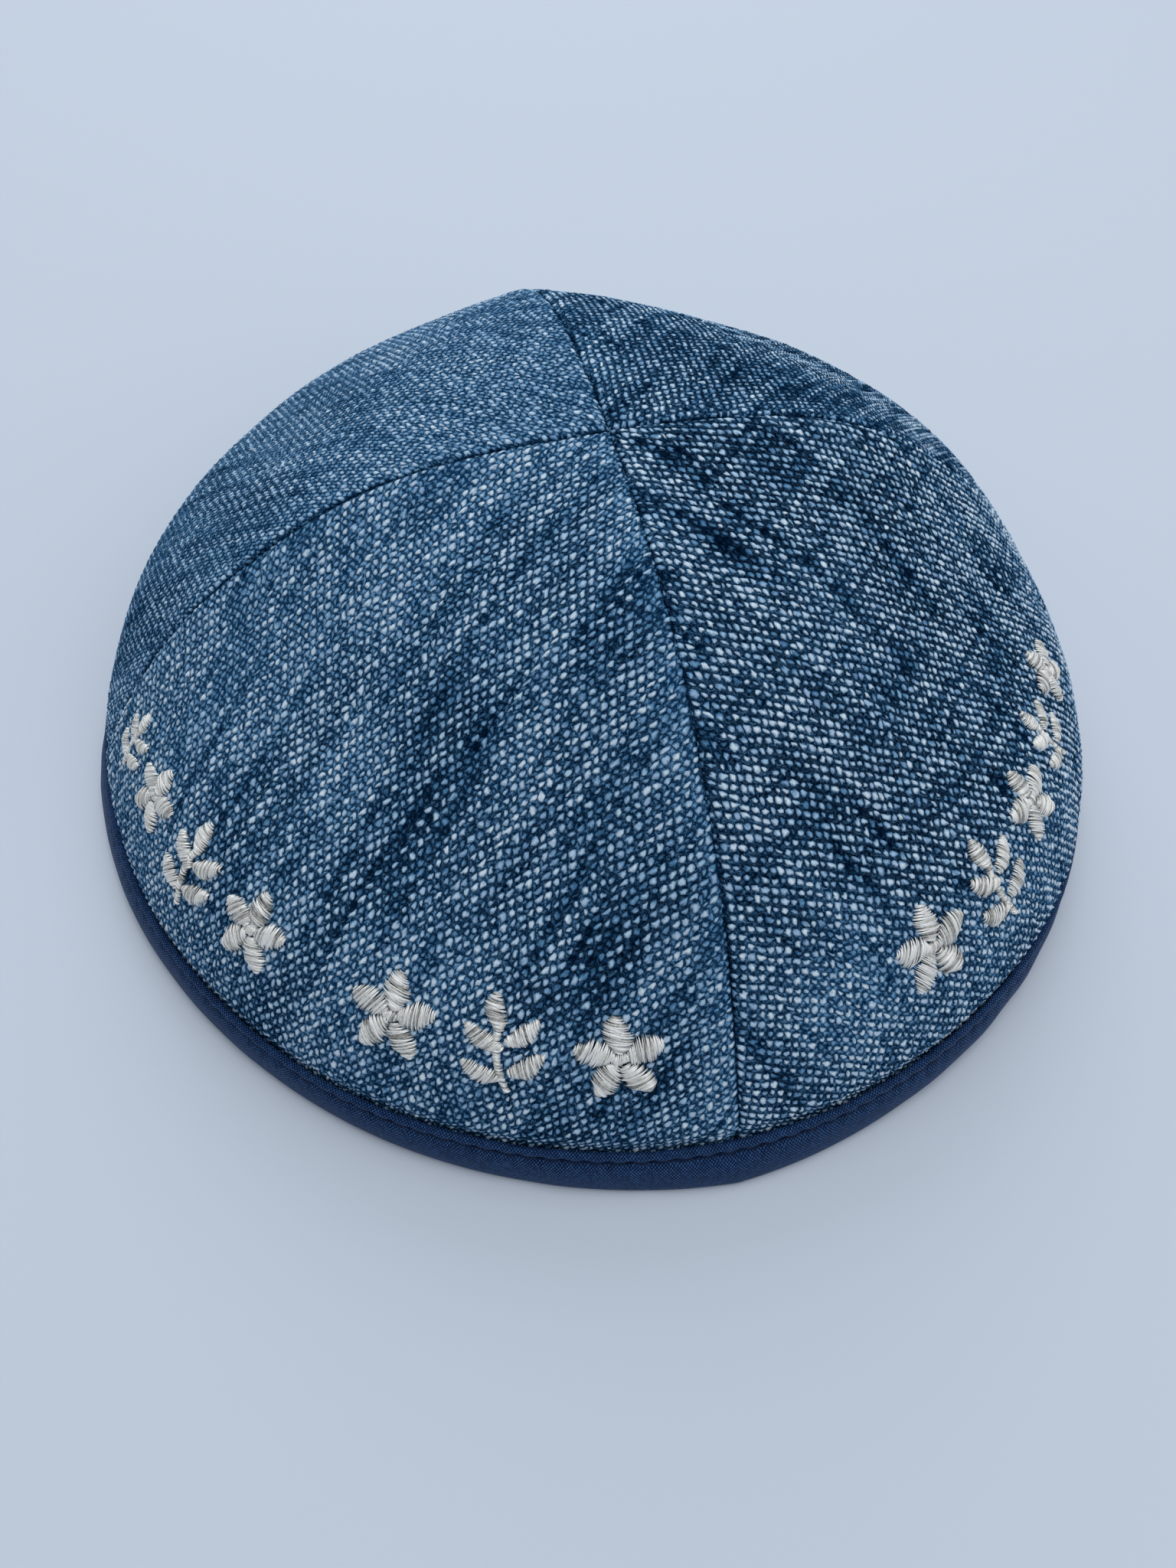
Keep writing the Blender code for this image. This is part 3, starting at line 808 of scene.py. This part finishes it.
def laid_threads(name, paths, upwards, radius, material, tones=None):
    """Short threads laid along paths, all copies of one ball drawn out, as one mesh."""
    bpy.ops.object.select_all(action="DESELECT")
    bpy.ops.mesh.primitive_uv_sphere_add(segments=THREAD_SIDES, ring_count=THREAD_RINGS, radius=1)
    ball = bpy.context.object
    shape = np.empty(len(ball.data.vertices) * 3)
    ball.data.vertices.foreach_get("co", shape)
    shape = shape.reshape(-1, 3)
    mesh = bmesh.new()
    for _ in paths:
        mesh.from_mesh(ball.data)
    for face in mesh.faces:
        face.smooth = True
    mesh.to_mesh(ball.data)
    mesh.free()
    points = paths.shape[1]
    along = np.arccos(np.clip(shape[:, 2], -1, 1)) / np.pi
    girth = np.sin(np.pi * np.clip(along, 0.0, 1.0)) ** 0.35
    girth = np.where((along < 1e-4) | (along > 1 - 1e-4), 0.0, girth)
    at = along * (points - 1)
    low = np.minimum(at.astype(int), points - 2)
    part = (at - low)[None, :, None]
    centre = paths[:, low] * (1 - part) + paths[:, low + 1] * part
    tangent = paths[:, low + 1] - paths[:, low]
    tangent /= np.linalg.norm(tangent, axis=-1, keepdims=True) + 1e-12
    upwards = upwards[:, None, :]
    up = upwards - tangent * np.sum(tangent * upwards, axis=-1, keepdims=True)
    up /= np.linalg.norm(up, axis=-1, keepdims=True)
    side = np.cross(tangent, up)
    spin = np.arctan2(shape[:, 1], shape[:, 0])
    out = side * np.cos(spin)[None, :, None] + up * np.sin(spin)[None, :, None]
    co = centre + out * (np.reshape(radius, (-1, 1)) * girth[None, :])[..., None]
    ball.data.vertices.foreach_set("co", co.ravel())
    if tones is not None:
        shade = ball.data.attributes.new("thread tone", "FLOAT", "POINT")
        shade.data.foreach_set("value", np.repeat(tones, len(shape)))
    while ball.data.uv_layers:
        ball.data.uv_layers.remove(ball.data.uv_layers[0])
    mesh = bmesh.new()
    mesh.from_mesh(ball.data)
    bmesh.ops.recalc_face_normals(mesh, faces=mesh.faces)
    mesh.to_mesh(ball.data)
    mesh.free()
    ball.name = name
    ball.data.materials.clear()
    ball.data.materials.append(material)
    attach(ball, "root")


def outward(compass):
    """Direction away from the cap's side, a little upwards."""
    return np.stack((np.cos(compass), np.sin(compass), 0 * compass + 0.25), axis=-1)


sewing_rng = np.random.default_rng(31)
stitch_middle = (np.arange(STITCH_COUNT) + 0.5) / STITCH_COUNT
stitch_half = STITCH_HALF_SHARE / STITCH_COUNT
share_along = np.linspace(-1, 1, 7)
stitch_compass = 2 * np.pi * (stitch_middle[:, None] + stitch_half * share_along)
stitch_height = STITCH_HEIGHT + tape_rise(stitch_compass) * STITCH_RISE_SHARE
stitch_height += STITCH_WANDER * sewing_rng.normal(size=(STITCH_COUNT, 1)) + STITCH_TILT * share_along
stitch_inset = STITCH_DEPTH + STITCH_END_DEPTH * share_along ** 4
stitch_path = tape_place(stitch_compass, stitch_inset, stitch_height)
navy_thread = bpy.data.materials.new("navy sewing thread")
navy_thread.use_nodes = True
thread_shader = navy_thread.node_tree.nodes["Principled BSDF"]
thread_shader.inputs["Base Color"].default_value = (0.0015, 0.0080, 0.0360, 1)
thread_shader.inputs["Roughness"].default_value = 0.6
thread_shader.inputs["Specular IOR Level"].default_value = 0.1
laid_threads("binding_stitches", stitch_path, outward(stitch_compass[:, 3]), SEWING_THREAD, navy_thread)

# The embroidery: flowers and leafy sprigs in silver metal thread, worked in raised
# satin stitch in a row above the rim of the front and the right gore.
METAL_THREAD = 0.000125
STITCH_GAP = 0.20  # in mm, like the motifs' own sizes
# Each petal, leaf or stem: where it starts and ends across and up, its bow and its half width
PETAL_START, PETAL_END, PETAL_HALF_WIDTH = 0.9, 6.1, 2.15
FLOWER_HEART = (-1.1, 0.0, 1.1, 0.0, 0.0, 1.1)
FLOWER = [
    (
        PETAL_START * np.sin(turned), PETAL_START * np.cos(turned),
        PETAL_END * np.sin(turned), PETAL_END * np.cos(turned), 0.0, PETAL_HALF_WIDTH,
    )
    for turned in np.radians((0, 72, 144, 216, 288))
] + [FLOWER_HEART]
SPRIG = (
    (0.9, -6.4, -0.3, 4.0, 0.9, 0.60),
    (0.1, -4.6, -5.0, -2.6, 0.6, 1.60),
    (0.9, -3.6, 5.4, -0.8, -0.6, 1.60),
    (0.1, -0.6, -4.6, 2.4, 0.5, 1.55),
    (0.5, 0.4, 4.6, 3.6, -0.5, 1.50),
    (-0.3, 1.9, -0.9, 6.7, 0.3, 1.60),
)
# By gore: the motif, where across and up on the gore laid flat in mm, and its size
MOTIFS = {
    FRONT: (
        (SPRIG, -45.0, -12.0, 0.80), (FLOWER, -35.0, -16.5, 0.86), (SPRIG, -23.0, -21.0, 1.00),
        (FLOWER, -9.5, -23.5, 0.92), (FLOWER, 13.0, -23.5, 0.96), (SPRIG, 27.0, -20.5, 1.00),
        (FLOWER, 41.0, -16.0, 0.96),
    ),
    RIGHT: (
        (FLOWER, -29.0, -18.0, 1.00), (SPRIG, -15.0, -20.0, 1.00), (FLOWER, -1.5, -19.0, 0.90),
        (SPRIG, 10.5, -17.0, 0.85), (FLOWER, 22.0, -14.0, 0.85),
    ),
}
STEM_HALF_WIDTH = 0.7  # up to this half width in mm, a shape is a stem and keeps its width
MOTIF_ROW_MIDDLE = 60.0  # the motifs' tops point at a place this far up the gore, in mm
EMBROIDERY_SEED = 41
STITCH_POINTS = 9
PADDING, PADDING_BY_WIDTH, SUNK_ENDS, UNEVEN_LIFT = 0.00050, 0.00026, 0.00035, 0.00009


def satin_threads(shapes, rng):
    """Both ends of every stitch across the shapes of a motif, and how wide the shape is there."""
    ends, width = [], []
    for x0, y0, x1, y1, bow, half in shapes:
        start, end = np.array((x0, y0)), np.array((x1, y1))
        length = np.linalg.norm(end - start)
        count = int(length / STITCH_GAP) + 1
        share = (np.arange(count) + 0.5 + rng.uniform(-0.25, 0.25, count)) / count
        along = (end - start) / length
        side = np.array((-along[1], along[0]))
        centre = start + np.outer(share, end - start) + np.outer(bow * np.sin(np.pi * share), side)
        leaf_outline = np.sin(np.pi * np.clip(share * 0.94 + 0.04, 0, 1)) ** 0.6
        reach = half * (leaf_outline if half > STEM_HALF_WIDTH else np.ones(count))
        slant = 0.24 + rng.uniform(-0.08, 0.08, count)
        across = np.outer(np.cos(slant), side) + np.outer(np.sin(slant), along)
        wobble = rng.uniform(0.84, 1.15, (count, 2))
        ends.append(np.stack((
            centre - across * (reach * wobble[:, 0])[:, None],
            centre + across * (reach * wobble[:, 1])[:, None],
        ), axis=1))
        width.append(reach)
    return np.concatenate(ends), np.concatenate(width)


def silver_thread():
    """Metallised thread: silver grey, its colour brightened in small random spots by painted glints; the
    same noise roughens and bumps it.
    """
    material = bpy.data.materials.new("silver metal thread")
    material.use_nodes = True
    tree = material.node_tree
    tree.nodes.clear()
    n = Nodes(tree)
    place = n.add("TexCoord").outputs["Object"]
    tone = n.add("Attribute", attribute_name="thread tone").outputs["Fac"]
    glints = n.add("TexNoise", {"Vector": place, "Scale": 2600.0, "Detail": 2.0}).outputs[0]
    # Painted glints: the noise brightens the thread's colour in small spots.
    shade = n.math("ADD", n.math("MULTIPLY", tone, 0.75), n.math("MULTIPLY", glints, 0.4), clamp=True)
    colour = n.ramp(
        shade, (0.15, (0.24, 0.235, 0.22)), (0.46, (0.86, 0.85, 0.81)), (0.74, (1.0, 0.99, 0.97)))
    rough = n.add("MapRange", {0: glints, 1: 0.3, 2: 0.7, 3: 0.24, 4: 0.52}).outputs[0]
    bump = n.add("Bump", {"Strength": 0.5, "Distance": 0.00005, "Height": glints})
    shader = n.add("BsdfPrincipled", {
        "Base Color": colour, "Roughness": rough, "Metallic": 0.35, "Normal": bump.outputs[0]})
    out = n.add("OutputMaterial")
    tree.links.new(shader.outputs[0], out.inputs[0])
    return material


silver = silver_thread()
for gore, name in ((FRONT, "front_embroidery"), (RIGHT, "right_embroidery")):
    rng = np.random.default_rng(EMBROIDERY_SEED + gore)
    all_ends, all_width = [], []
    for shapes, x, y, size in MOTIFS[gore]:
        ends, width = satin_threads(shapes, rng)
        upright = np.arctan2(x, MOTIF_ROW_MIDDLE - y)
        spun = np.array(((np.cos(upright), np.sin(upright)), (-np.sin(upright), np.cos(upright))))
        all_ends.append(ends * size @ spun + (x, y))
        all_width.append(width * size)
    ends, width = np.concatenate(all_ends) / 1000, np.concatenate(all_width)
    part = np.linspace(0, 1, STITCH_POINTS)[None, :, None]
    flat = ends[:, :1] * (1 - part) + ends[:, 1:] * part
    compass, tilt = flat_to_compass(gore, flat[..., 0], flat[..., 1])
    hump = 1 - np.abs(2 * part[..., 0] - 1) ** 3.0
    lift = hump * (PADDING + PADDING_BY_WIDTH * width[:, None]) - SUNK_ENDS
    lift = lift + hump * rng.uniform(-UNEVEN_LIFT, UNEVEN_LIFT, (len(ends), 1))
    angle = angle_of_tilt(compass, tilt)
    paths = on_cap(compass, angle, lift)
    middle_compass, middle_angle = compass[:, STITCH_POINTS // 2], angle[:, STITCH_POINTS // 2]
    above = on_cap(middle_compass, middle_angle, np.full(len(ends), 0.001))
    upwards = (above - on_cap(middle_compass, middle_angle, np.zeros(len(ends)))) * 1000
    thickness = METAL_THREAD * rng.uniform(0.85, 1.15, len(ends))
    laid_threads(name, paths, upwards, thickness, silver, rng.uniform(0, 1, len(ends)))

# The table, the soft daylight and the camera: a plain pale table, lit mostly from above
# and behind, and seen from in front and above through a wide lens.
bpy.ops.object.select_all(action="DESELECT")
bpy.ops.mesh.primitive_plane_add(size=4.0)
table = bpy.context.object
table.name = "pale_table"
table_paint = bpy.data.materials.new("pale table")
table_paint.use_nodes = True
table_shader = table_paint.node_tree.nodes["Principled BSDF"]
table_shader.inputs["Base Color"].default_value = (0.66, 0.72, 0.82, 1)
table_shader.inputs["Roughness"].default_value = 0.9
table.data.materials.append(table_paint)

world = bpy.data.worlds.new("soft daylight")
world.use_nodes = True
world.node_tree.nodes["Background"].inputs[0].default_value = (0.86, 0.93, 1.0, 1)
world.node_tree.nodes["Background"].inputs[1].default_value = 0.30
bpy.context.scene.world = world
for name, place, size, power, tint in (
    ("window_behind", (-0.20, 1.00, 0.75), 0.9, 4.8, (0.86, 0.95, 1.0)),
    ("sky_overhead", (0.00, 0.10, 1.20), 0.9, 6.0, (0.96, 0.98, 1.0)),
    ("window_front", (0.80, -0.70, 0.90), 0.9, 2.8, (0.96, 0.98, 1.0)),
):
    bpy.ops.object.light_add(type="AREA", location=place)
    lamp = bpy.context.object
    lamp.name = name
    lamp.data.size = size
    lamp.data.energy = power
    lamp.data.color = tint
    lamp.rotation_euler = (Vector((0, 0, 0.03)) - Vector(place)).to_track_quat("-Z", "Y").to_euler()

LENS, SENSOR, PITCH, ROLL = 27.17, 36, 0.9639, 0.0641
LENS_PLACE = (0.00013, -0.13110, 0.16170)  # from the crown's axis and the table
ahead = Vector((0, np.cos(PITCH), -np.sin(PITCH)))
level = Vector((1, 0, 0))
overhead = level.cross(ahead)
right = level * np.cos(ROLL) + overhead * np.sin(ROLL)
upright = overhead * np.cos(ROLL) - level * np.sin(ROLL)
lens_place = (LENS_PLACE[0] - RIM_MIDDLE[0], LENS_PLACE[1] - RIM_MIDDLE[1], LENS_PLACE[2])
bpy.ops.object.camera_add()
camera = bpy.context.object
camera.data.lens = LENS
camera.data.sensor_width = SENSOR
camera.data.clip_start = 0.01
turn = Matrix((right, upright, -ahead)).transposed()
camera.matrix_world = Matrix.Translation(lens_place) @ turn.to_4x4()
bpy.context.scene.camera = camera
bpy.context.scene.view_settings.view_transform = "Standard"
